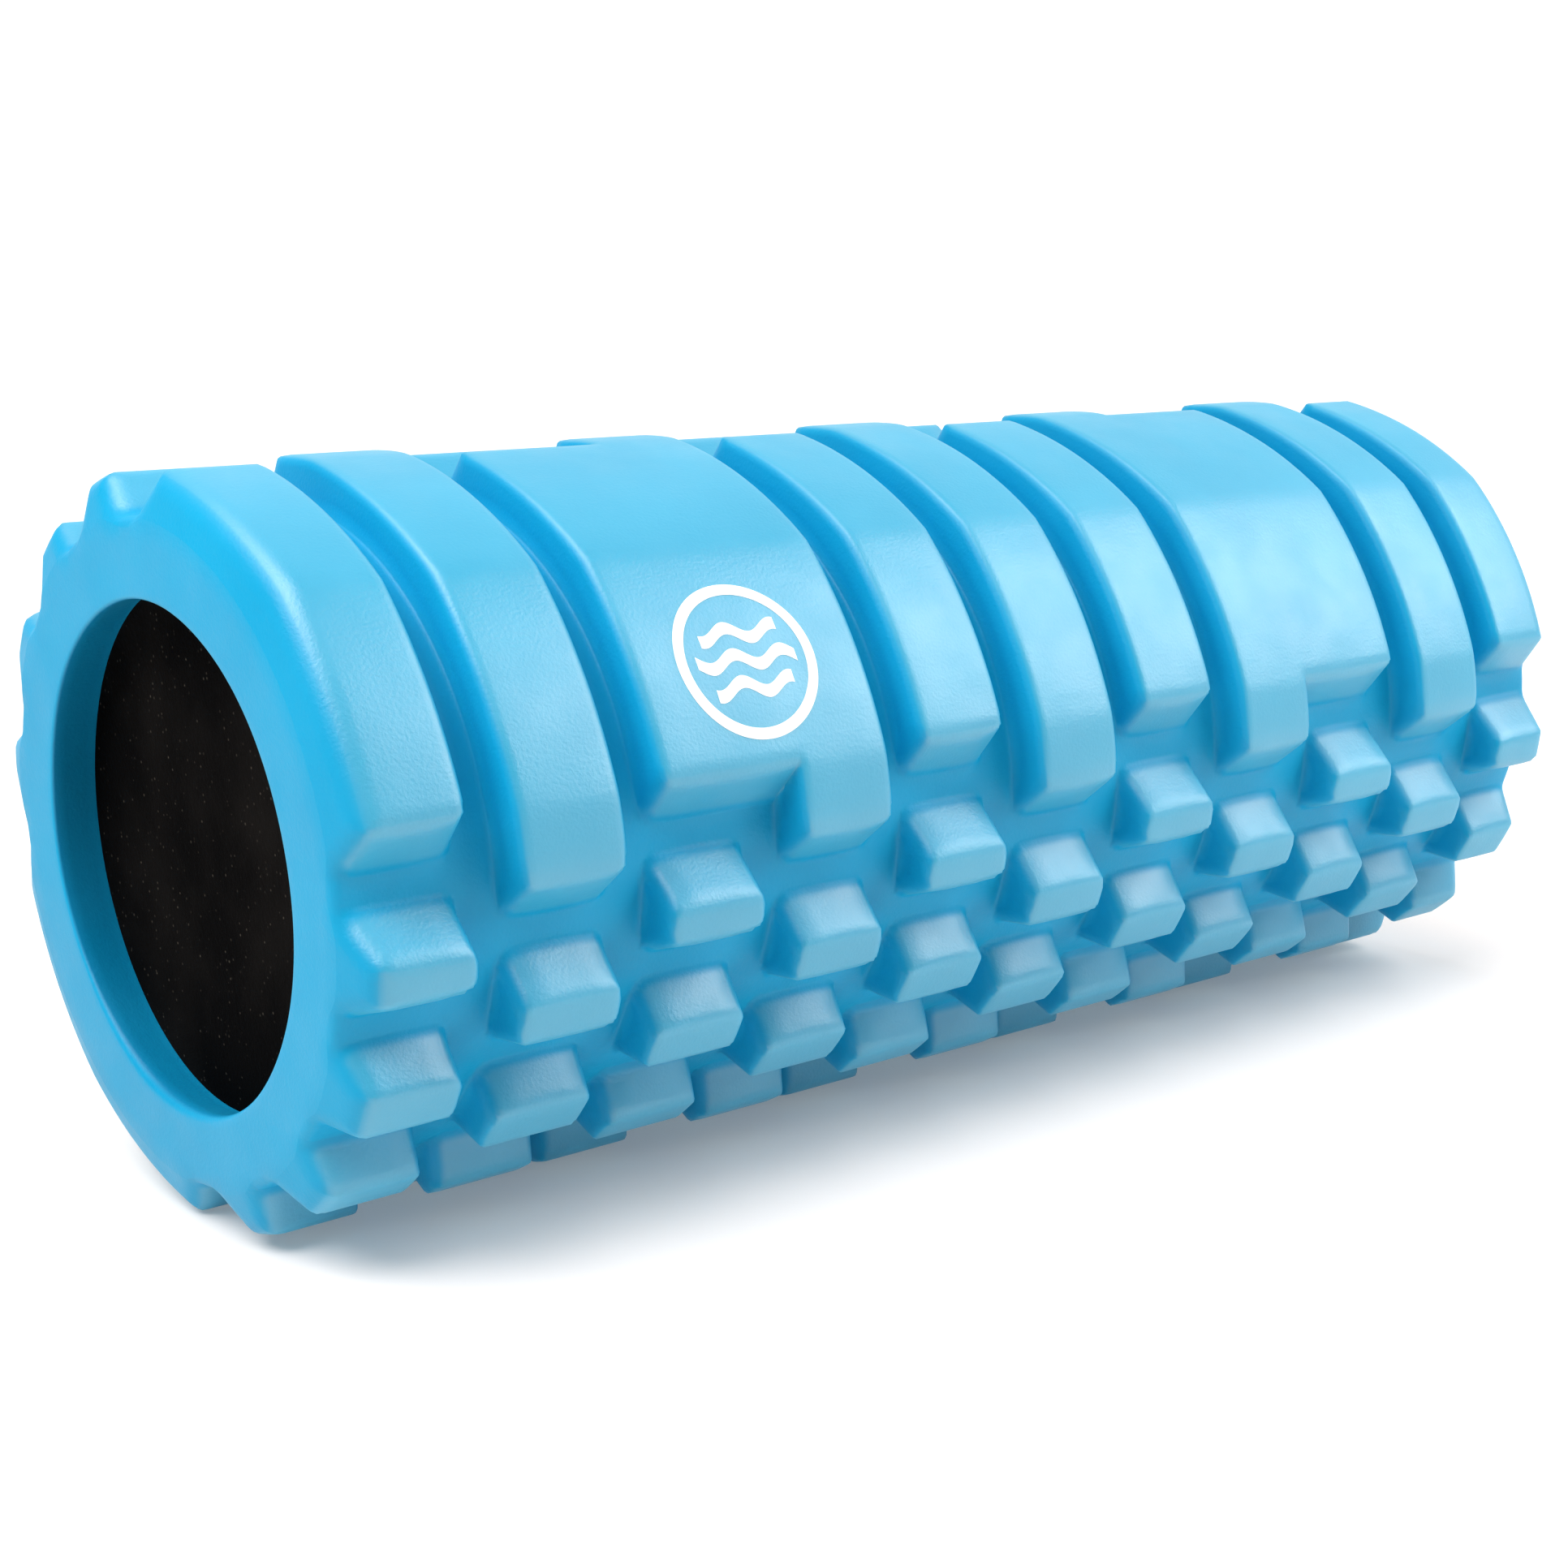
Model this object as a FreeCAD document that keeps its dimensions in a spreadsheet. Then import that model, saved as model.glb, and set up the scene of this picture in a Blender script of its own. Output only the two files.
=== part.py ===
import FreeCAD, Part
import Sketcher
import os

# Grid foam roller: a moulded EVA sleeve on a rigid core tube, closed by an end cap at each end.
# Units are millimetres. In the finished frame +X runs along the roller, -Y is its front and +Z is up,
# and the origin is below the middle of the roller, on the surface it lies on.
# Every piece is drawn standing on its left end, with its length along the local Z axis.
# Angles around the roller are measured from straight up towards the front.

DIMENSIONS = [
    ("roller_length", 330.0, "length over the two foam end faces"),
    ("crown_radius", 70.8, "radius over the tread crowns"),
    ("tread_height", 9.0, "crown to the floor of the grooves"),
    ("mouth_radius", 47.2, "opening in each foam end face"),
    ("lip_depth", 9.9, "foam lip between the end face and the cap"),
    ("core_radius", 49.5, "outer radius of the core tube and of the cap rims"),
    ("core_wall", 3.0, "wall of the core tube"),
    ("cap_rim", 3.0, "rim of an end cap, over the end of the tube"),
    ("cap_spigot", 14.0, "spigot of an end cap, inside the tube"),
    ("column_count", 11, "tread columns along the roller"),
    ("column_pitch", 30.7, "middle of a column to the middle of the next"),
    ("column_width", 22.0, "crown width of a column, along the roller"),
    ("column_flank", 0.3, "slope of a column's side, over the tread height"),
    ("end_slope", 1.5, "slope of the outermost columns at the end faces"),
    ("band_centre", 40.5, "angle of the first band's middle line"),
    ("band_half_angle", 36.3, "half the arc of an odd column's band"),
    ("unit_angle", 22.5, "angle from a knob to the next"),
    ("knob_width", 11.0, "crown width of the middle knob, around the roller"),
    ("knob_foot", 18.2, "width of every knob at the groove floor"),
    ("knob_lean", 2.23, "crown width lost towards the band, per unit_angle from the middle knob"),
    ("band_flank", 5.3, "slope of a band's end, over the tread height"),
    ("facet_radius", 102.0, "arc of the two flattened halves of a band"),
    ("trim", 1.5, "how far tread blanks run past the crown and the floor"),
]

# Knobs in half a turn, as multiples of unit_angle from the middle of the knob zone.
ODD_KNOBS = [-1.5, -0.5, 0.5, 1.5]
EVEN_KNOBS = [-1.0, 0.0, 1.0]
# Columns whose band is joined to the next column's band, counted from the left.
JOINED_COLUMNS = [3, 8]
HALF_TURNS = [0, 180]

doc = FreeCAD.newDocument("foam_roller")
sheet = doc.addObject("Spreadsheet::Sheet", "dims")
for row, (alias, value, note) in enumerate(DIMENSIONS, start=1):
    sheet.set(f"A{row}", alias)
    sheet.set(f"B{row}", str(value))
    sheet.set(f"C{row}", note)
    sheet.setAlias(f"B{row}", alias)
doc.recompute()

FLOOR_RADIUS = "(dims.crown_radius - dims.tread_height)"
HEAD_RADIUS = "(dims.crown_radius + dims.trim)"
FOOT_RADIUS = "(dims.crown_radius - dims.tread_height - dims.trim)"
END_RIDGE_INSET = "asin(dims.knob_width / 2 / dims.crown_radius) / 1 deg"


def bind(obj, **expressions):
    """Bind properties of obj to spreadsheet expressions; an underscore path stands for dots."""
    for name, expression in expressions.items():
        obj.setExpression(name.replace("__", "."), str(expression))
    return obj


def cylinder(label, radius, height, base="0", start="0", angle="360"):
    obj = doc.addObject("Part::Cylinder", label)
    obj.Placement.Rotation = FreeCAD.Rotation(FreeCAD.Vector(0, 0, 1), 1)
    return bind(obj, Radius=radius, Height=height, Angle=angle,
                Placement__Base__z=base, Placement__Rotation__Angle=start)


def cone(label, lower_radius, upper_radius, height, base="0"):
    obj = doc.addObject("Part::Cone", label)
    return bind(obj, Radius1=lower_radius, Radius2=upper_radius, Height=height, Placement__Base__z=base)


def fuse(label, shapes):
    obj = doc.addObject("Part::MultiFuse", label)
    obj.Shapes = shapes
    return obj


def boolean(kind, label, base, tool):
    obj = doc.addObject(f"Part::{kind}", label)
    obj.Base = base
    obj.Tool = tool
    return obj


def ridge(label, angle, before, after):
    """A straight ridge along the whole roller, at an angle around it.

    before and after are its two sides, each as half the crown width and half the foot width.
    """
    obj = doc.addObject("Part::Wedge", label)
    obj.Placement.Rotation = FreeCAD.Rotation(FreeCAD.Vector(0, 0, 1), 1)
    ends = {}
    for side, (crown, foot) in {"before": before, "after": after}.items():
        overrun = f"dims.trim * ({foot} - {crown}) / dims.tread_height"
        ends[side] = (f"({foot} + {overrun})", f"({crown} - {overrun})")
    return bind(obj, Xmin=f"-{ends['after'][0]}", Xmax=ends["before"][0],
                X2min=f"-{ends['after'][1]}", X2max=ends["before"][1],
                Ymin=FOOT_RADIUS, Ymax=HEAD_RADIUS,
                Zmin="0", Zmax="dims.roller_length", Z2min="0", Z2max="dims.roller_length",
                Placement__Rotation__Angle=angle)


def around(label, half_angle, knobs):
    """The tread's pattern around the roller: in each half turn one band and then a zone of knobs."""
    pieces = []
    reach = f"({half_angle} - {END_RIDGE_INSET})"
    half_crown = "(dims.knob_width / 2)"
    band_end = (half_crown, f"({half_crown} + dims.band_flank)")
    outer = (half_crown, "(dims.knob_foot / 2)")
    for turn in HALF_TURNS:
        middle = f"dims.band_centre + {turn}"
        pieces.append(cylinder(f"{label}_band_{turn}", HEAD_RADIUS, "dims.roller_length",
                               start=f"90 + {middle} - {reach}", angle=f"2 * {reach}"))
        pieces.append(ridge(f"{label}_band_start_{turn}", f"{middle} - {reach}", band_end, band_end))
        pieces.append(ridge(f"{label}_band_end_{turn}", f"{middle} + {reach}", band_end, band_end))
        for number, step in enumerate(knobs, start=1):
            facing_band = (f"({half_crown} - {abs(step)} * dims.knob_lean)", "(dims.knob_foot / 2)")
            sides = (facing_band, outer) if step < 0 else (outer, facing_band)
            pieces.append(ridge(f"{label}_knob_{turn}_{number}",
                                f"{middle} + 90 + {step} * dims.unit_angle", *sides))
    return fuse(label, pieces)


def column(label, middle, width):
    """A solid ring of the given crown width, with sloping sides, centred at height middle."""
    slope = "dims.column_flank / dims.tread_height"
    head = f"({width} / 2 - dims.trim * {slope})"
    run = f"((dims.tread_height + 2 * dims.trim) * {slope})"
    return [
        cone(f"{label}_left", FOOT_RADIUS, HEAD_RADIUS, run, f"{middle} - {head} - {run}"),
        cylinder(f"{label}_middle", HEAD_RADIUS, f"2 * {head}", f"{middle} - {head}"),
        cone(f"{label}_right", HEAD_RADIUS, FOOT_RADIUS, run, f"{middle} + {head}"),
    ]


def column_middle(number):
    return f"(dims.roller_length / 2 + ({number} - (dims.column_count + 1) / 2) * dims.column_pitch)"


def tread(label, pattern, columns):
    """The part of the tread where a pattern around the roller crosses a set of columns."""
    rings = fuse(f"{label}_columns", columns)
    return boolean("Common", f"{label}_tread", pattern, rings)


def crown_limit():
    """The blank that trims the tread: the crown, the sloping ends and the flattened band halves."""
    limit = fuse("crown", [
        cone("crown_left", FLOOR_RADIUS, "dims.crown_radius", "dims.end_slope"),
        cylinder("crown_middle", "dims.crown_radius", "dims.roller_length - 2 * dims.end_slope", "dims.end_slope"),
        cone("crown_right", "dims.crown_radius", FLOOR_RADIUS, "dims.end_slope",
             "dims.roller_length - dims.end_slope"),
    ])
    quarter = "(dims.band_half_angle / 2)"
    drop = (f"(sqrt(dims.facet_radius ^ 2 - (dims.crown_radius * sin({quarter})) ^ 2)"
            f" - dims.crown_radius * cos({quarter}))")
    for turn in HALF_TURNS:
        for side in (-1, 1):
            direction = f"(dims.band_centre + {turn} + 90 + {side} * {quarter})"
            facet = cylinder(f"facet_{turn}_{'upper' if side < 0 else 'lower'}",
                             "dims.facet_radius", "dims.roller_length")
            bind(facet, Placement__Base__x=f"-{drop} * cos({direction})",
                 Placement__Base__y=f"-{drop} * sin({direction})")
            limit = boolean("Common", f"{facet.Label}_limit", limit, facet)
    return limit


def foam_sleeve():
    numbers = range(1, int(sheet.column_count) + 1)
    half_angle = "dims.band_half_angle"
    odd_columns = [ring for number in numbers if number % 2 == 1
                   for ring in column(f"column_{number}", column_middle(number), "dims.column_width")]
    even_columns = [ring for number in numbers if number % 2 == 0
                    for ring in column(f"column_{number}", column_middle(number), "dims.column_width")]
    joined_columns = [ring for number in JOINED_COLUMNS
                      for ring in column(f"joined_{number}", column_middle(number + 0.5),
                                         "(dims.column_width + dims.column_pitch)")]
    blank = fuse("sleeve_blank", [
        cylinder("tread_floor", FLOOR_RADIUS, "dims.roller_length"),
        tread("odd", around("odd_pattern", half_angle, ODD_KNOBS), odd_columns),
        tread("even", around("even_pattern", f"({half_angle} + dims.unit_angle / 2)", EVEN_KNOBS), even_columns),
        tread("joined", around("joined_pattern", half_angle, []), joined_columns),
    ])
    bore = fuse("sleeve_bore", [
        cone("left_lip", "dims.mouth_radius", "dims.core_radius", "dims.lip_depth"),
        cylinder("core_seat", "dims.core_radius", "dims.roller_length - 2 * dims.lip_depth", "dims.lip_depth"),
        cone("right_lip", "dims.core_radius", "dims.mouth_radius", "dims.lip_depth",
             "dims.roller_length - dims.lip_depth"),
    ])
    moulding = boolean("Common", "sleeve_moulding", blank, crown_limit())
    return boolean("Cut", "foam_sleeve", moulding, bore)


def origin_plane(body, role):
    return [(next(item for item in body.Origin.OriginFeatures if item.Role == role), "")]


def new_body(label, plane):
    """A body with one empty sketch on one of its origin planes."""
    body = doc.addObject("PartDesign::Body", label)
    sketch = body.newObject("Sketcher::SketchObject", f"{label}_sketch")
    sketch.AttachmentSupport = origin_plane(body, plane)
    sketch.MapMode = "FlatFace"
    return body, sketch


def core_tube():
    body, sketch = new_body("core_tube", "XY_Plane")
    centre = FreeCAD.Vector(0, 0, 0)
    for index, (name, radius) in enumerate([("outer", "dims.core_radius"),
                                            ("inner", "dims.core_radius - dims.core_wall")]):
        drawn_radius = sheet.core_radius - index * sheet.core_wall
        sketch.addGeometry(Part.Circle(centre, FreeCAD.Vector(0, 0, 1), drawn_radius), False)
        sketch.addConstraint(Sketcher.Constraint("Coincident", index, 3, -1, 1))
        sketch.addConstraint(Sketcher.Constraint("Radius", index, drawn_radius))
        sketch.renameConstraint(sketch.ConstraintCount - 1, name)
        sketch.setExpression(f"Constraints.{name}", radius)
    pad = body.newObject("PartDesign::Pad", "core_tube_pad")
    pad.Profile = sketch
    bind(pad, Length="dims.roller_length - 2 * (dims.lip_depth + dims.cap_rim)")
    body.Tip = pad
    return body


def end_cap(label):
    """A foam cap turned about its own axis: a rim over the tube's end and a spigot inside the tube."""
    body, sketch = new_body(label, "XZ_Plane")
    rim, spigot = "dims.core_radius", "dims.core_radius - dims.core_wall"
    step, depth = "dims.cap_rim", "dims.cap_rim + dims.cap_spigot"
    # Corners of half the section, as drawn; the constraints below bind them to the sheet.
    drawn_rim, drawn_spigot = sheet.core_radius, sheet.core_radius - sheet.core_wall
    drawn_step, drawn_depth = sheet.cap_rim, sheet.cap_rim + sheet.cap_spigot
    corners = [(0, 0), (drawn_rim, 0), (drawn_rim, drawn_step),
               (drawn_spigot, drawn_step), (drawn_spigot, drawn_depth), (0, drawn_depth)]
    for index, corner in enumerate(corners):
        following = corners[(index + 1) % len(corners)]
        sketch.addGeometry(Part.LineSegment(FreeCAD.Vector(*corner, 0), FreeCAD.Vector(*following, 0)), False)
    for index in range(len(corners)):
        sketch.addConstraint(Sketcher.Constraint("Coincident", index, 2, (index + 1) % len(corners), 1))
        sketch.addConstraint(Sketcher.Constraint("Horizontal" if index % 2 == 0 else "Vertical", index))
    sketch.addConstraint(Sketcher.Constraint("Coincident", 0, 1, -1, 1))
    for name, kind, line, size in [("rim_radius", "DistanceX", 0, rim), ("rim_depth", "DistanceY", 1, step),
                                   ("spigot_radius", "DistanceX", 4, spigot), ("cap_depth", "DistanceY", 5, depth)]:
        ends = (1, 2) if line < 2 else (2, 1)
        sketch.addConstraint(Sketcher.Constraint(kind, line, ends[0], line, ends[1], 1.0))
        sketch.renameConstraint(sketch.ConstraintCount - 1, name)
        sketch.setExpression(f"Constraints.{name}", size)
    turned = body.newObject("PartDesign::Revolution", f"{label}_turned")
    turned.Profile = sketch
    turned.ReferenceAxis = (sketch, ["V_Axis"])
    turned.Angle = 360
    body.Tip = turned
    return body


def lay_down(piece, along, facing=1):
    """Lay a piece on the roller's axis, its base at the height along; facing -1 turns it end for end."""
    upright = FreeCAD.Rotation(FreeCAD.Vector(1, 1, 1), 120)
    end_for_end = FreeCAD.Rotation(FreeCAD.Vector(0, 0, 1), 90 - 90 * facing)
    piece.Placement.Rotation = end_for_end.multiply(upright)
    return bind(piece, Placement__Base__x=f"{along} - dims.roller_length / 2",
                Placement__Base__z="dims.crown_radius")


pieces = [
    lay_down(foam_sleeve(), "0"),
    lay_down(core_tube(), "dims.lip_depth + dims.cap_rim"),
    lay_down(end_cap("left_end_cap"), "dims.lip_depth"),
    lay_down(end_cap("right_end_cap"), "dims.roller_length - dims.lip_depth", facing=-1),
]
doc.recompute()

for obj in doc.Objects:
    if "Invalid" in obj.State or "Error" in obj.State:
        raise RuntimeError(f"{obj.Label} did not build: {obj.State}")

os.makedirs("parts", exist_ok=True)
for piece in pieces:
    shape = piece.Shape
    if shape.isNull() or not shape.isValid() or not shape.Solids:
        raise RuntimeError(f"{piece.Label} has no valid solid")
    shape.exportStep(f"parts/{piece.Label}.step")
    print(f"{piece.Label}: {len(shape.Solids)} solid, {len(shape.Faces)} faces, {shape.Volume / 1000:.1f} cm3")
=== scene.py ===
"""Grid foam roller: a light blue moulded foam sleeve over a core tube with black foam end caps."""
import bpy
import math
import numpy as np
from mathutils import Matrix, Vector


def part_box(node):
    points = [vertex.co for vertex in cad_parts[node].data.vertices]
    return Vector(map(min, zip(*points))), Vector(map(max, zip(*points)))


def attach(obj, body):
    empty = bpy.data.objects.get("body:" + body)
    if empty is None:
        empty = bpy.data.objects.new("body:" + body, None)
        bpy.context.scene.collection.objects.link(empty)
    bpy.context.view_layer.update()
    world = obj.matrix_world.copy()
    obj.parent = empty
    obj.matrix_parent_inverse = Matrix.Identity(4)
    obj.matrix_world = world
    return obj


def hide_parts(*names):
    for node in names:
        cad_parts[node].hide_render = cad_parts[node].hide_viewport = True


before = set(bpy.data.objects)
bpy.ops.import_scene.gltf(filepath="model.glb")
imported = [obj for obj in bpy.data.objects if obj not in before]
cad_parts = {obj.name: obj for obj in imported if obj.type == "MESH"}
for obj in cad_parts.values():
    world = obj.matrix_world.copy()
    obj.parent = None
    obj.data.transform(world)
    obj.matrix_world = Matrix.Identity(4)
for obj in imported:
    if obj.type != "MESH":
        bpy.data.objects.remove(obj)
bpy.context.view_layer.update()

MM = 0.001
sleeve_low, sleeve_high = (np.array(corner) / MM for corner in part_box("foam_sleeve"))
cap_low, cap_high = (np.array(corner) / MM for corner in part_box("left_end_cap"))

# Sizes taken from the CAD frame, in millimetres.
LENGTH = sleeve_high[0] - sleeve_low[0]
LEFT_END = sleeve_low[0]
CROWN = (sleeve_high[2] - sleeve_low[2]) / 2
AXIS_HEIGHT = (sleeve_high[2] + sleeve_low[2]) / 2
LIP_DEPTH = cap_low[0] - sleeve_low[0]
CORE = (cap_high[2] - cap_low[2]) / 2

# The tread, with the values of the CAD model's sheet. Angles run from straight up towards the front.
TREAD_HEIGHT = 9.0
MOUTH = 47.2
COLUMN_COUNT = 11
COLUMN_PITCH = 30.7
COLUMN_WIDTH = 22.0
COLUMN_FLANK = 0.3
BAND_CENTRE = 40.5
BAND_HALF_ANGLE = 36.3
UNIT_ANGLE = 22.5
KNOB_WIDTH = 11.0
KNOB_FOOT = 18.2
KNOB_LEAN = 2.23
BAND_FLANK = 5.3
FACET_RADIUS = 102.0
ODD_KNOBS = [-1.5, -0.5, 0.5, 1.5]
EVEN_KNOBS = [-1.0, 0.0, 1.0]
JOINED_COLUMNS = [3, 8]
FLOOR = CROWN - TREAD_HEIGHT

# The mouth's trimmed edge, which is widest near the bottom.
MOUTH_TRIM = 0.7
EXTRA_TRIM = 1.3
EXTRA_TRIM_ANGLE = 192

# The printed badge on the first joined band: a ring around three wavy lines.
MARK_ALONG = 87.5
MARK_ANGLE = 60.0
MARK_RADIUS = 15.6
RING_WIDTH = 2.2
WAVE_MARGIN = 4.2
WAVE_GAP = 5.4
WAVE_HEIGHT = 1.2
WAVE_HALF_LENGTH = 5.4
WAVE_HALF_WIDTH = 1.25
WAVE_ALLOWANCE = 1.6
WAVE_POINTS = 41
RING_STEP = 3.75
INK_LIFT = 0.07

# How far the tread's ends lean in from foot to crown; the CAD model has 1.5.
END_SLOPE = 2.5

# Rounding of the moulded edges, as blend widths in millimetres.
SIDE_ROUND = 2.4
WALL_ROUND = 2.2
CORNER_ROUND = 4.6
END_ROUND = 4.5
FLOOR_ROUND = 0.7
FACET_ROUND = 0.15
RIM_ROUND = 2.4

# Where the sleeve's mesh has lines: millimetres in from an end face, millimetres past a column's
# crown edge, degrees either side of a ridge's edge, and over the end face, the mouth's rounded edge
# and its wall. Then the largest and smallest gap between lines, in millimetres and in degrees.
FROM_END = [0.03, 0.15, 0.4, 0.8, 1.3, 1.9, 2.6, 3.4, 4.3, 5.4, 6.8]
PAST_CROWN = [-2.6, -1.6, -0.95, -0.5, -0.18, 0.05, 0.2, 0.35, 0.8, 1.6]
BESIDE_EDGE = (-0.9, -0.3, 0.3, 0.9)
FACE_SHARES = (0.15, 0.4, 0.65, 0.88, 1.0)
EDGE_TURNS = (22.5, 45, 67.5, 90)
WALL_SHARES = (0.25, 0.5, 0.75, 1.0)
LARGEST_STEP, CLOSEST_STEP = 4.5, 0.02
LARGEST_TURN, CLOSEST_TURN = 2.5, 0.5
HALVINGS = 16

# The foam's mottled blue in the grooves, a paler copy on the crowns that is painted sheen, and a darker
# copy on the mouth's wall that is painted shade.
GROOVE_BLUES = [(0.3, (0.002, 0.315, 0.555)), (0.75, (0.004, 0.345, 0.595))]
CROWN_BLUES_PAINTED_SHEEN = [(0.3, (0.014, 0.335, 0.530)), (0.75, (0.024, 0.370, 0.570))]
MOUTH_BLUES_PAINTED_SHADE = [(0.3, (0.001, 0.215, 0.410)), (0.75, (0.003, 0.250, 0.460))]

# Noise sizes of the foam's grain and of its rubbing wrinkles.
GRAIN_SCALE = 1500.0
WRINKLE_SCALE = 420.0

# The camera, fitted to the photograph.
CAMERA_PLACE = (-0.3595, -0.4233, 0.1761)
CAMERA_DOWN = 15.862
CAMERA_HEADING = -42.151
CAMERA_LENS = 57.827
CAMERA_SHIFT = (-0.0968, 0.121)

# The direction from the camera to the studio's bright side, and the floor's own glow.
BEHIND = (0.70, 0.71, 0.0)
FLOOR_GLOW = 0.18


def smooth_max(a, b, width):
    """The higher of a and b, with a rounded edge where they cross."""
    overlap = np.clip(1 - np.abs(a - b) / width, 0, None)
    return np.maximum(a, b) + overlap ** 2 * width / 4


def smooth_min(a, b, width):
    return -smooth_max(-a, -b, width)


def beyond_columns(along, radius, middles, width):
    """Distance outside the nearest column's drafted sides.

    The outermost columns run on into the end faces."""
    along = np.clip(along, COLUMN_WIDTH / 2, LENGTH - COLUMN_WIDTH / 2)
    distance = np.min([np.abs(along - middle) for middle in middles], axis=0)
    draft = COLUMN_FLANK / TREAD_HEIGHT
    return (distance - width / 2 - (CROWN - radius) * draft) / math.hypot(1, draft)


def beyond_wall(angle, radius, crown_half, foot_half):
    """Distance outside one flat wall of a ridge, at an angle (degrees) from the ridge's middle line."""
    draft = (foot_half - crown_half) / TREAD_HEIGHT
    turn = np.radians(np.clip(angle, -75, 75))
    reach = crown_half + (CROWN - radius * np.cos(turn)) * draft
    return (radius * np.sin(turn) - reach) / math.hypot(1, draft)


def beyond_pattern(from_band, radius, half_angle, knobs):
    """Distance outside the band and the knobs at an angle (degrees, 0 to 90) from the band's middle."""
    half_crown = KNOB_WIDTH / 2
    reach = half_angle - math.degrees(math.asin(half_crown / CROWN))
    outside = beyond_wall(from_band - reach, radius, half_crown, half_crown + BAND_FLANK)
    for step in knobs:
        angle = from_band - 90 - step * UNIT_ANGLE
        facing_band = half_crown - max(0, -step) * KNOB_LEAN
        near = beyond_wall(-angle, radius, facing_band, KNOB_FOOT / 2)
        far = beyond_wall(angle, radius, half_crown, KNOB_FOOT / 2)
        outside = np.minimum(outside, np.maximum(near, far))
    return outside


def crown_radius(from_band):
    """The crown, with the two flattened halves of each band."""
    quarter = math.radians(BAND_HALF_ANGLE / 2)
    drop = math.sqrt(FACET_RADIUS ** 2 - (CROWN * math.sin(quarter)) ** 2) - CROWN * math.cos(quarter)
    turn = np.radians(from_band) - quarter
    facet = np.sqrt(FACET_RADIUS ** 2 - (drop * np.sin(turn)) ** 2) - drop * np.cos(turn)
    return smooth_min(facet, np.full_like(facet, CROWN), FACET_ROUND)


def column_middles(numbers):
    return [LENGTH / 2 + (number - (COLUMN_COUNT + 1) / 2) * COLUMN_PITCH for number in numbers]


def beyond_tread(along, angle, radius):
    """Distance outside the moulded tread, negative inside it, at points given by their distance
    along the roller, their angle around it and their radius."""
    from_band = np.abs((angle - BAND_CENTRE + 90) % 180 - 90)
    odd = column_middles(range(1, COLUMN_COUNT + 1, 2))
    even = column_middles(range(2, COLUMN_COUNT + 1, 2))
    joined = column_middles([number + 0.5 for number in JOINED_COLUMNS])
    sets = [(odd, COLUMN_WIDTH, BAND_HALF_ANGLE, ODD_KNOBS),
            (even, COLUMN_WIDTH, BAND_HALF_ANGLE + UNIT_ANGLE / 2, EVEN_KNOBS),
            (joined, COLUMN_WIDTH + COLUMN_PITCH, BAND_HALF_ANGLE, [])]
    crown = radius - crown_radius(from_band)
    to_end = np.minimum(along, LENGTH - along)
    end_draft = END_SLOPE / TREAD_HEIGHT
    end = ((radius - FLOOR) * end_draft - to_end) / math.hypot(1, end_draft)
    features = []
    for middles, width, half_angle, knobs in sets:
        side = beyond_columns(along, radius, middles, width)
        wall = beyond_pattern(from_band, radius, half_angle, knobs)
        outline = smooth_max(side, wall, CORNER_ROUND)
        outline = smooth_max(outline, end, END_ROUND)
        over = smooth_max(crown, wall, WALL_ROUND)
        over = np.maximum(over, smooth_max(crown, side, SIDE_ROUND))
        over = np.maximum(over, smooth_max(crown, end, END_ROUND))
        features.append(np.maximum(over, outline))
    feature = np.minimum.reduce(features)
    floor = smooth_max(radius - FLOOR, -to_end, RIM_ROUND)
    return smooth_min(feature, floor, FLOOR_ROUND)


def tread_radius(along, angle):
    """Outer radius of the sleeve at distances along it (mm) and angles around it (degrees)."""
    low = np.full(np.broadcast(along, angle).shape, FLOOR - RIM_ROUND)
    high = np.full_like(low, CROWN + 0.5)
    for _ in range(HALVINGS):
        middle = (low + high) / 2
        outside = beyond_tread(along, angle, middle) > 0
        high = np.where(outside, middle, high)
        low = np.where(outside, low, middle)
    return (low + high) / 2


def spaced(lines, low, high, largest, closest):
    """Sorted positions from low to high that keep the given lines and fill any gap over largest."""
    lines = sorted(line for line in lines if low <= line <= high)
    kept = [low]
    for line in lines:
        if line - kept[-1] >= closest:
            kept.append(line)
    if high - kept[-1] < closest:
        kept[-1] = high
    else:
        kept.append(high)
    filled = []
    for start, stop in zip(kept, kept[1:]):
        steps = max(1, math.ceil((stop - start) / largest))
        filled += [start + (stop - start) * step / steps for step in range(steps)]
    return np.array(filled + [high])


def along_lines():
    """Where the mesh has rings: close together over each column's sides and its rounded edges."""
    lines = FROM_END + [LENGTH - line for line in FROM_END]
    for middle in column_middles(range(1, COLUMN_COUNT + 1)):
        for offset in PAST_CROWN:
            lines += [middle - COLUMN_WIDTH / 2 - offset, middle + COLUMN_WIDTH / 2 + offset]
    return spaced(lines, 0.0, LENGTH, LARGEST_STEP, CLOSEST_STEP)


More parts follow.
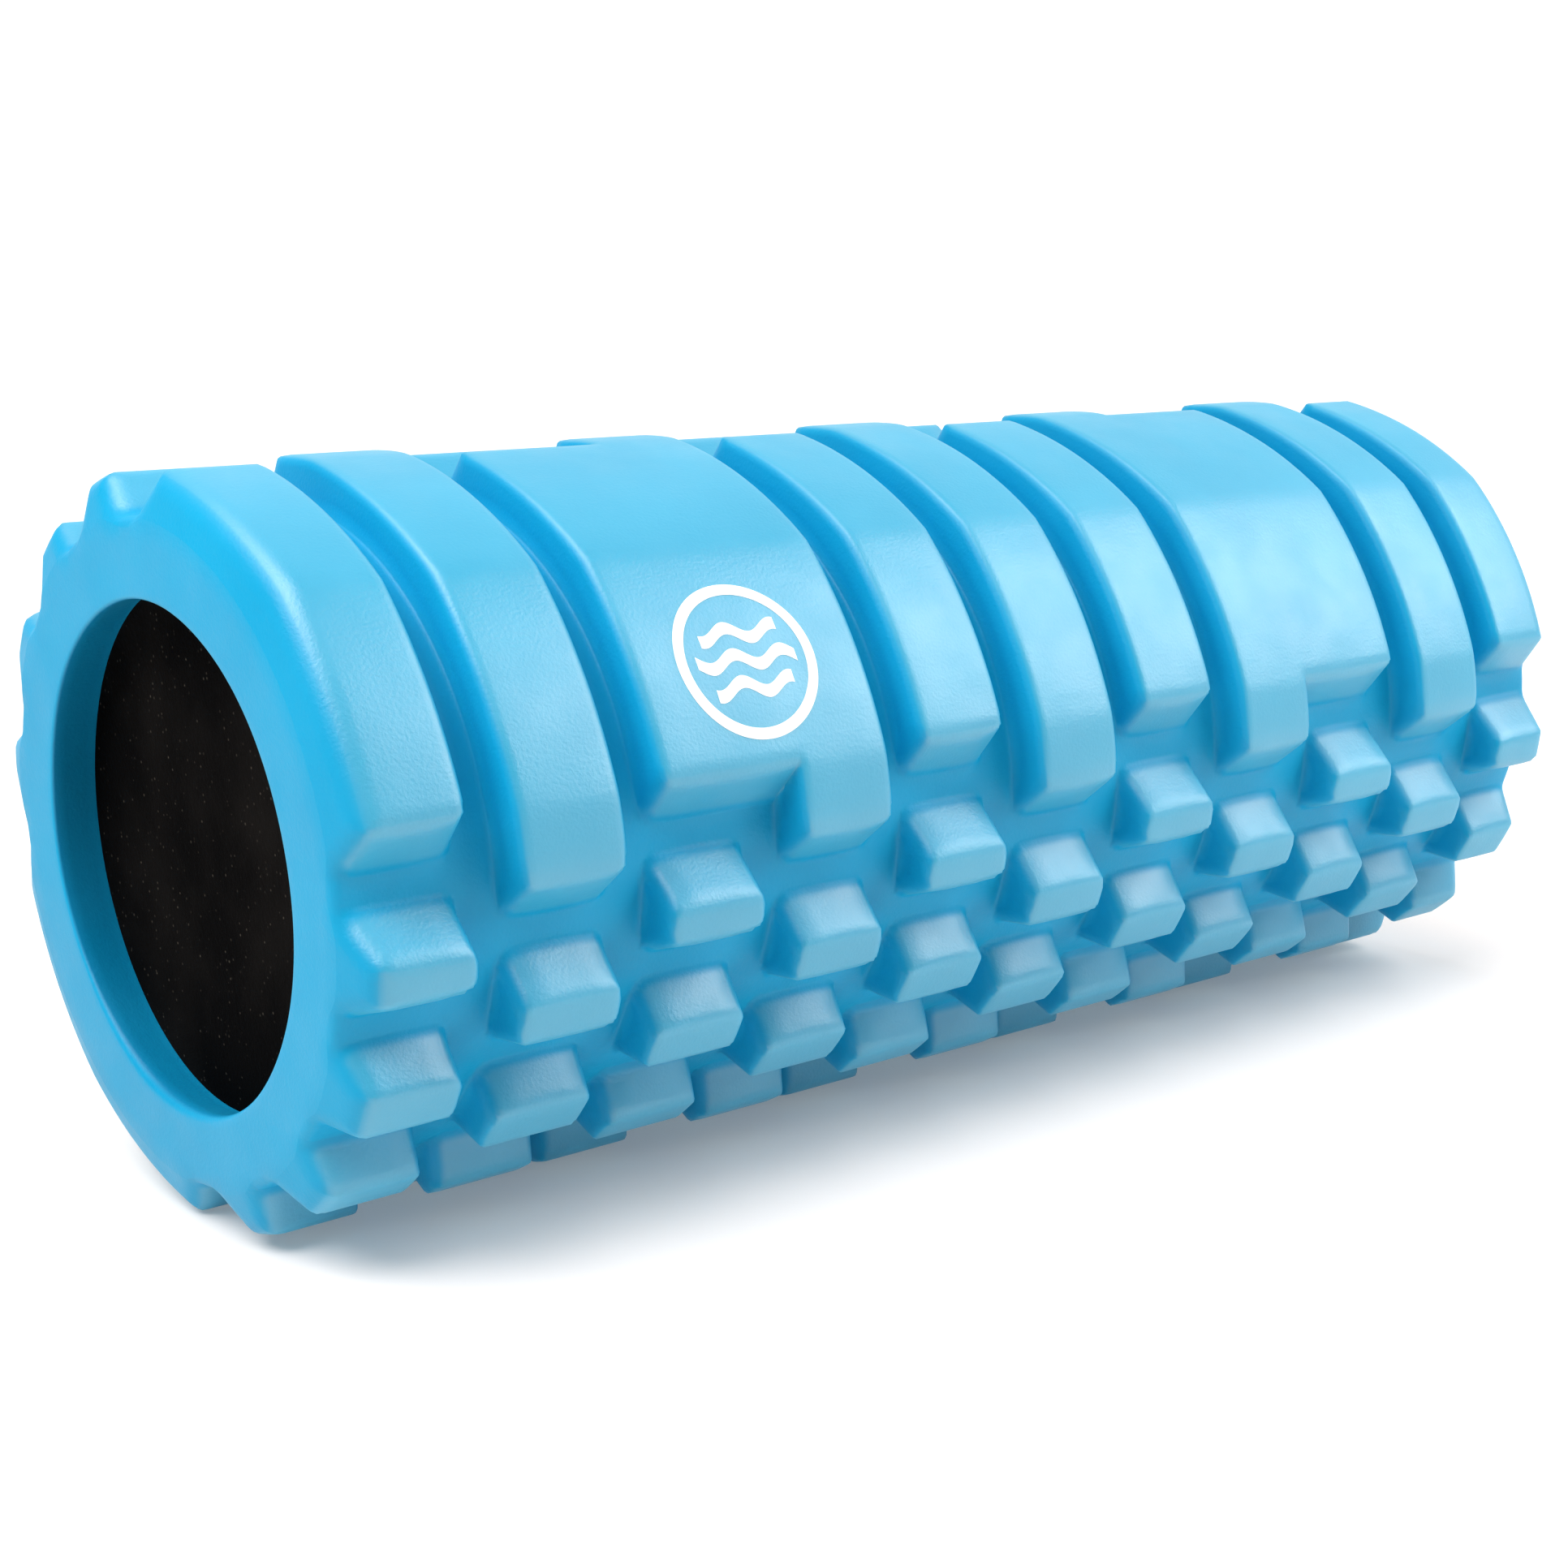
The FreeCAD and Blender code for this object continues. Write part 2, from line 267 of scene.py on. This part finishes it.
def around_lines():
    """Angles of the mesh's lengthwise lines, close together over the knobs' walls and rounded edges."""
    half_crown = KNOB_WIDTH / 2
    reach = BAND_HALF_ANGLE - math.degrees(math.asin(half_crown / CROWN))
    ridges = [(reach + step * UNIT_ANGLE, half_crown, half_crown, half_crown + BAND_FLANK)
              for step in (0, 0.5)]
    ridges += [(90 + step * UNIT_ANGLE, half_crown + step * KNOB_LEAN, half_crown, KNOB_FOOT / 2)
               for step in (-1.5, -1, -0.5, 0)]
    lines = []
    for middle, near, far, foot in ridges:
        foot_angle = math.degrees(math.asin(foot / FLOOR))
        near_angle = math.degrees(math.asin(near / CROWN))
        far_angle = math.degrees(math.asin(far / CROWN))
        edges = [-foot_angle, -near_angle, far_angle, foot_angle]
        lines += [middle + edge + offset for edge in edges for offset in BESIDE_EDGE]
    lines = [line for line in lines if line > BAND_HALF_ANGLE - 12]
    quarter_turn = spaced(lines, 0.0, 90.0, LARGEST_TURN, CLOSEST_TURN)
    half_turn = np.concatenate([-quarter_turn[:0:-1], quarter_turn])[1:]
    return BAND_CENTRE + np.concatenate([half_turn, half_turn + 180])


def ring_points(along, radius, angles):
    turn = np.radians(angles)
    points = np.empty((len(angles), 3))
    points[:, 0] = LEFT_END + along
    points[:, 1] = -radius * np.sin(turn)
    points[:, 2] = AXIS_HEIGHT + radius * np.cos(turn)
    return points * MM


def mouth_rings(angles):
    """Distance in from the end face and radius of each ring from the face's rim to the core seat."""
    wander = 0.12 * np.sin(np.radians(3 * angles + 40)) + 0.08 * np.sin(np.radians(7 * angles + 110))
    mouth = MOUTH + wander
    lowest = np.clip(np.cos(np.radians(angles - EXTRA_TRIM_ANGLE)), 0, None)
    edge = MOUTH_TRIM + EXTRA_TRIM * lowest ** 6
    face = FLOOR - RIM_ROUND
    rings = [(0.0, face - share * (face - mouth - edge)) for share in FACE_SHARES]
    for turn in EDGE_TURNS:
        bend = math.radians(turn)
        rings.append((edge * (1 - math.cos(bend)), mouth + edge * (1 - math.sin(bend))))
    for share in WALL_SHARES:
        depth = edge + share * (LIP_DEPTH - edge)
        rings.append((depth, mouth + share * (CORE - mouth)))
    return rings


def mesh_object(name, rings):
    """A closed surface through rings of equal point counts, joined in a loop."""
    count, size = len(rings), len(rings[0])
    vertices = np.concatenate(rings)
    index = np.arange(count * size).reshape(count, size)
    following = np.roll(index, -1, axis=0)
    beside, across = np.roll(index, -1, axis=1), np.roll(following, -1, axis=1)
    faces = np.stack([index, beside, across, following], axis=-1)
    mesh = bpy.data.meshes.new(name)
    mesh.from_pydata(vertices.tolist(), [], faces.reshape(-1, 4).tolist())
    mesh.update()
    obj = bpy.data.objects.new(name, mesh)
    bpy.context.scene.collection.objects.link(obj)
    mesh.polygons.foreach_set("use_smooth", np.ones(len(mesh.polygons), bool))
    return obj


def foam_sleeve():
    angles = around_lines()
    alongs = along_lines()
    radii = tread_radius(alongs[:, None], angles[None, :])
    rings = [ring_points(along, radius, angles) for along, radius in zip(alongs, radii)]
    mouth = mouth_rings(angles)
    rings += [ring_points(LENGTH - depth, radius, angles) for depth, radius in mouth]
    rings += [ring_points(depth, radius, angles) for depth, radius in reversed(mouth)]
    return mesh_object("moulded_sleeve", rings)


def band_point(across, down, lift):
    """Points of the printed mark, by millimetres along the roller, around the band and off it."""
    angle = MARK_ANGLE + down / math.radians(1) / CROWN
    radius = crown_radius(np.abs(angle - BAND_CENTRE)) + lift
    turn = np.radians(angle)
    return np.stack([LEFT_END + MARK_ALONG + across + 0 * angle, -radius * np.sin(turn),
                     AXIS_HEIGHT + radius * np.cos(turn)], axis=-1) * MM


def stroke(left, right, closed):
    """A thin closed layer of ink between two edge lines, each a list of (across, down) points."""
    left, right = np.array(left), np.array(right)
    steps = [left + (right - left) * share for share in (0, 0.5, 1)]
    top = [band_point(line[:, 0], line[:, 1], INK_LIFT) for line in steps]
    low = [band_point(line[:, 0], line[:, 1], -INK_LIFT) for line in reversed(steps)]
    loops = np.stack(top + low, axis=1)
    count, size = loops.shape[:2]
    faces = []
    for row in range(count if closed else count - 1):
        following = (row + 1) % count
        for column in range(size):
            beside = (column + 1) % size
            faces.append((row * size + column, row * size + beside,
                          following * size + beside, following * size + column))
    if not closed:
        faces.append(tuple(range(size - 1, -1, -1)))
        faces.append(tuple((count - 1) * size + column for column in range(size)))
    return loops.reshape(-1, 3), faces


def printed_mark():
    """A plain round badge in white ink: a ring around three wavy lines."""
    turns = np.radians(np.arange(0, 360, RING_STEP))
    circle = np.stack([np.cos(turns), np.sin(turns)], axis=1)
    strokes = [stroke(MARK_RADIUS * circle, (MARK_RADIUS - RING_WIDTH) * circle, True)]
    for row in (-WAVE_GAP, 0.0, WAVE_GAP):
        reach = math.sqrt((MARK_RADIUS - WAVE_MARGIN) ** 2 - (abs(row) + WAVE_ALLOWANCE) ** 2)
        across = np.linspace(-reach, reach, WAVE_POINTS)
        down = row + WAVE_HEIGHT * np.sin(across / WAVE_HALF_LENGTH * math.pi)
        upper = np.stack([across, down - WAVE_HALF_WIDTH], axis=1)
        lower = np.stack([across, down + WAVE_HALF_WIDTH], axis=1)
        strokes.append(stroke(upper, lower, False))
    vertices, faces = [], []
    for points, quads in strokes:
        faces += [tuple(index + len(vertices) for index in quad) for quad in quads]
        vertices += points.tolist()
    mesh = bpy.data.meshes.new("printed_mark")
    mesh.from_pydata(vertices, [], faces)
    mesh.update()
    mark = bpy.data.objects.new("printed_mark", mesh)
    bpy.context.scene.collection.objects.link(mark)
    return mark


sleeve = foam_sleeve()
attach(sleeve, "root")
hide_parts("foam_sleeve")

mark = printed_mark()
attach(mark, "root")


def new_material(name):
    material = bpy.data.materials.new(name)
    material.use_nodes = True
    nodes = material.node_tree.nodes
    return material, nodes, material.node_tree.links, nodes["Principled BSDF"]


def noise(nodes, links, place, scale, detail, stretch=None):
    """A noise texture in object space, stretched by different scales along the three axes if given."""
    texture = nodes.new("ShaderNodeTexNoise")
    texture.inputs["Scale"].default_value = scale
    texture.inputs["Detail"].default_value = detail
    if stretch:
        mapping = nodes.new("ShaderNodeMapping")
        mapping.inputs["Scale"].default_value = stretch
        links.new(place.outputs["Object"], mapping.inputs["Vector"])
        links.new(mapping.outputs["Vector"], texture.inputs["Vector"])
    else:
        links.new(place.outputs["Object"], texture.inputs["Vector"])
    return texture


def ramp(nodes, links, value, stops):
    colours = nodes.new("ShaderNodeValToRGB")
    elements = colours.color_ramp.elements
    while len(elements) < len(stops):
        elements.new(0.5)
    for element, (position, colour) in zip(elements, stops):
        element.position = position
        element.color = (*colour, 1)
    links.new(value, colours.inputs["Fac"])
    return colours.outputs["Color"]


def bump(nodes, links, height, strength, distance, onto=None):
    node = nodes.new("ShaderNodeBump")
    node.inputs["Strength"].default_value = strength
    node.inputs["Distance"].default_value = distance
    links.new(height, node.inputs["Height"])
    if onto is not None:
        links.new(onto, node.inputs["Normal"])
    return node.outputs["Normal"]


def map_range(nodes, links, value, start, stop, low, high):
    """A smooth step from low to high as the value goes from start to stop."""
    step = nodes.new("ShaderNodeMapRange")
    step.interpolation_type = "SMOOTHSTEP"
    for name, number in (("From Min", start), ("From Max", stop), ("To Min", low), ("To Max", high)):
        step.inputs[name].default_value = number
    links.new(value, step.inputs["Value"])
    return step.outputs["Result"]


def vector_math(nodes, links, operation, vector, constant=None):
    node = nodes.new("ShaderNodeVectorMath")
    node.operation = operation
    links.new(vector, node.inputs[0])
    if constant:
        node.inputs[1].default_value = constant
    return node.outputs["Value" if operation in ("LENGTH", "DOT_PRODUCT") else "Vector"]


def product(nodes, links, first, second):
    node = nodes.new("ShaderNodeMath")
    node.operation = "MULTIPLY"
    links.new(first, node.inputs[0])
    links.new(second, node.inputs[1])
    return node.outputs["Value"]


def mix(nodes, links, factor, first, second):
    node = nodes.new("ShaderNodeMix")
    node.data_type = "RGBA"
    links.new(factor, node.inputs["Factor"])
    links.new(first, node.inputs["A"])
    links.new(second, node.inputs["B"])
    return node.outputs["Result"]


def skin_zones(nodes, links, place):
    """Two masks: the outer skin of the band and knobs, which is given a paler blue as painted sheen,
    and the trimmed wall of each mouth, which is given a darker blue as painted shade.
    """
    outward = vector_math(nodes, links, "SUBTRACT", place.outputs["Object"], (0, 0, AXIS_HEIGHT * MM))
    outward = vector_math(nodes, links, "MULTIPLY", outward, (0, 1, 1))
    radius = vector_math(nodes, links, "LENGTH", outward)
    facing = nodes.new("ShaderNodeSeparateXYZ")
    links.new(place.outputs["Normal"], facing.inputs["Vector"])
    lengthwise = nodes.new("ShaderNodeMath")
    lengthwise.operation = "ABSOLUTE"
    links.new(facing.outputs["X"], lengthwise.inputs[0])
    round_about = map_range(nodes, links, lengthwise.outputs["Value"], 0.25, 0.85, 1.0, 0.0)
    raised = map_range(nodes, links, radius, (FLOOR + 0.3) * MM, (FLOOR + 2.4) * MM, 0.0, 1.0)
    inside = map_range(nodes, links, radius, (CORE + 0.3) * MM, (CORE + 2.0) * MM, 1.0, 0.0)
    return product(nodes, links, raised, round_about), product(nodes, links, inside, round_about)


def foam_material():
    """Closed-cell EVA with a satin moulded skin: fine grain, faint mottling, rubbing wrinkles, a paler
    blue on the crowns as painted sheen and a darker blue on the mouth's wall as painted shade.
    """
    material, nodes, links, surface = new_material("blue_foam_skin")
    place = nodes.new("ShaderNodeTexCoord")
    crown, mouth = skin_zones(nodes, links, place)
    mottle = noise(nodes, links, place, 38.0, 4.0).outputs["Fac"]
    groove_tint = ramp(nodes, links, mottle, GROOVE_BLUES)
    # Painted sheen: the crowns get a paler blue than the grooves.
    crown_painted_sheen_tint = ramp(nodes, links, mottle, CROWN_BLUES_PAINTED_SHEEN)
    # Painted shade: the mouth's wall gets a darker blue.
    mouth_painted_shade_tint = ramp(nodes, links, mottle, MOUTH_BLUES_PAINTED_SHADE)
    tint = mix(nodes, links, mouth, mix(nodes, links, crown, groove_tint, crown_painted_sheen_tint), mouth_painted_shade_tint)
    links.new(tint, surface.inputs["Base Color"])
    grain = noise(nodes, links, place, GRAIN_SCALE, 3.0)
    wrinkle = noise(nodes, links, place, WRINKLE_SCALE, 5.0, (0.35, 1.0, 1.6))
    normal = bump(nodes, links, grain.outputs["Fac"], 0.35, 0.0002)
    normal = bump(nodes, links, wrinkle.outputs["Fac"], 0.11, 0.0003, normal)
    links.new(normal, surface.inputs["Normal"])
    polish = noise(nodes, links, place, 90.0, 3.0)
    roughness = map_range(nodes, links, polish.outputs["Fac"], 0.2, 0.8, 0.40, 0.50)
    sheen = map_range(nodes, links, crown, 0.0, 1.0, 0.18, 0.84)
    links.new(roughness, surface.inputs["Roughness"])
    links.new(sheen, surface.inputs["Specular IOR Level"])
    surface.inputs["IOR"].default_value = 1.65
    surface.inputs["Subsurface Weight"].default_value = 0.25
    surface.inputs["Subsurface Radius"].default_value = (0.2, 0.8, 1.0)
    surface.inputs["Subsurface Scale"].default_value = 0.003
    return material


def ink_material():
    """Thin white screen ink: a little of the foam's grain shows through."""
    material, nodes, links, surface = new_material("white_ink")
    place = nodes.new("ShaderNodeTexCoord")
    wear = noise(nodes, links, place, 700.0, 4.0)
    white = ramp(nodes, links, wear.outputs["Fac"],
                 [(0.3, (0.72, 0.82, 0.86)), (0.5, (0.9, 0.92, 0.93))])
    links.new(white, surface.inputs["Base Color"])
    grain = noise(nodes, links, place, GRAIN_SCALE, 3.0)
    links.new(bump(nodes, links, grain.outputs["Fac"], 0.3, 0.0002), surface.inputs["Normal"])
    surface.inputs["Roughness"].default_value = 0.55
    return material


def cap_material():
    """Cut black foam with fine pale flecks and a faint paler cloud, which is a painted reflection."""
    material, nodes, links, surface = new_material("black_foam_cap")
    place = nodes.new("ShaderNodeTexCoord")
    # Painted reflection: a faint paler cloud over the dull black foam.
    cloud = noise(nodes, links, place, 30.0, 5.0)
    base = ramp(nodes, links, cloud.outputs["Fac"],
                [(0.42, (0.0016, 0.0015, 0.0015)), (0.75, (0.0085, 0.0075, 0.0068))])
    cells = nodes.new("ShaderNodeTexVoronoi")
    cells.inputs["Scale"].default_value = 760.0
    links.new(place.outputs["Object"], cells.inputs["Vector"])
    picked = ramp(nodes, links, cells.outputs["Color"], [(0.6, (0, 0, 0)), (0.95, (1, 1, 1))])
    near = ramp(nodes, links, cells.outputs["Distance"], [(0.1, (1, 1, 1)), (0.26, (0, 0, 0))])
    fleck = nodes.new("ShaderNodeMix")
    fleck.data_type = "RGBA"
    fleck.blend_type = "MULTIPLY"
    fleck.inputs["Factor"].default_value = 1.0
    links.new(picked, fleck.inputs["A"])
    links.new(near, fleck.inputs["B"])
    colour = nodes.new("ShaderNodeMix")
    colour.data_type = "RGBA"
    links.new(fleck.outputs["Result"], colour.inputs["Factor"])
    links.new(base, colour.inputs["A"])
    colour.inputs["B"].default_value = (0.085, 0.075, 0.06, 1)
    links.new(colour.outputs["Result"], surface.inputs["Base Color"])
    grain = noise(nodes, links, place, 900.0, 4.0)
    links.new(bump(nodes, links, grain.outputs["Fac"], 0.6, 0.0004), surface.inputs["Normal"])
    surface.inputs["Roughness"].default_value = 0.95
    surface.inputs["Specular IOR Level"].default_value = 0.03
    return material


def tube_material():
    """Dark extruded plastic, streaked along its length."""
    material, nodes, links, surface = new_material("black_tube_plastic")
    place = nodes.new("ShaderNodeTexCoord")
    streaks = noise(nodes, links, place, 120.0, 3.0, (0.05, 1.0, 1.0))
    base = ramp(nodes, links, streaks.outputs["Fac"],
                [(0.3, (0.012, 0.012, 0.012)), (0.7, (0.022, 0.022, 0.022))])
    links.new(base, surface.inputs["Base Color"])
    surface.inputs["Roughness"].default_value = 0.6
    return material


def repaint(node, material):
    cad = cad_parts[node]
    for slot in cad.material_slots:
        slot.material = material


sleeve.data.materials.append(foam_material())
mark.data.materials.append(ink_material())
cap_foam = cap_material()
repaint("left_end_cap", cap_foam)
repaint("right_end_cap", cap_foam)
repaint("core_tube", tube_material())


def pale_floor(half_size):
    corners = [(x * half_size, y * half_size, 0) for x, y in ((-1, -1), (1, -1), (1, 1), (-1, 1))]
    mesh = bpy.data.meshes.new("floor")
    mesh.from_pydata(corners, [], [(0, 1, 2, 3)])
    floor = bpy.data.objects.new("floor", mesh)
    bpy.context.scene.collection.objects.link(floor)
    material, nodes, links, surface = new_material("pale_floor")
    place = nodes.new("ShaderNodeTexCoord")
    away = vector_math(nodes, links, "LENGTH", place.outputs["Object"])
    away = map_range(nodes, links, away, 0.5, 1.4, 0.0, 1.0)
    # Painted shade: the floor is darker and warmer near the roller, where its shadow falls, which also
    # offsets the blue light the foam bounces onto it; it turns an even pale grey further out.
    pale = ramp(nodes, links, away, [(0.0, (0.80, 0.74, 0.71)), (1.0, (0.94, 0.94, 0.94))])
    links.new(pale, surface.inputs["Base Color"])
    surface.inputs["Roughness"].default_value = 0.9
    surface.inputs["Specular IOR Level"].default_value = 0.1
    surface.inputs["Emission Color"].default_value = (1, 1, 1, 1)
    surface.inputs["Emission Strength"].default_value = FLOOR_GLOW
    mesh.materials.append(material)


def studio_world():
    """A white studio: bright behind the roller, dimmer towards its left front."""
    world = bpy.data.worlds.new("studio")
    bpy.context.scene.world = world
    world.use_nodes = True
    nodes, links = world.node_tree.nodes, world.node_tree.links
    place = nodes.new("ShaderNodeTexCoord")
    toward = vector_math(nodes, links, "DOT_PRODUCT", place.outputs["Generated"], BEHIND)
    strength = map_range(nodes, links, toward, 0.3, 0.85, 0.07, 1.1)
    background = nodes["Background"]
    background.inputs["Color"].default_value = (1, 1, 1, 1)
    links.new(strength, background.inputs["Strength"])


def sun(name, direction, strength, angle):
    """A distant soft light that shines along a direction."""
    light = bpy.data.lights.new(name, "SUN")
    light.energy = strength
    light.angle = math.radians(angle)
    lamp = bpy.data.objects.new(name, light)
    bpy.context.scene.collection.objects.link(lamp)
    lamp.rotation_euler = Vector(direction).to_track_quat("-Z", "Y").to_euler()


def softbox(name, location, target, size, power):
    light = bpy.data.lights.new(name, "AREA")
    light.shape = "RECTANGLE"
    light.size, light.size_y = size
    light.energy = power
    lamp = bpy.data.objects.new(name, light)
    bpy.context.scene.collection.objects.link(lamp)
    lamp.location = location
    lamp.rotation_euler = (Vector(target) - Vector(location)).to_track_quat("-Z", "Y").to_euler()


pale_floor(6.0)
studio_world()
sun("top_left", (0.36, 0.0, -0.93), 2.9, 55)
softbox("front_right", (0.75, -0.60, 0.70), (0, 0, 0.07), (0.8, 0.8), 10.0)
softbox("left_top", (-0.42, -0.05, 0.42), (-0.1, 0, 0.1), (0.25, 0.25), 1.1)

camera_data = bpy.data.cameras.new("camera")
camera = bpy.data.objects.new("camera", camera_data)
bpy.context.scene.collection.objects.link(camera)
camera.location = CAMERA_PLACE
camera.rotation_euler = (math.radians(90 - CAMERA_DOWN), 0, math.radians(CAMERA_HEADING))
camera_data.lens = CAMERA_LENS
camera_data.sensor_width = 36
camera_data.shift_x, camera_data.shift_y = CAMERA_SHIFT
bpy.context.scene.camera = camera
bpy.context.scene.view_settings.view_transform = "Standard"
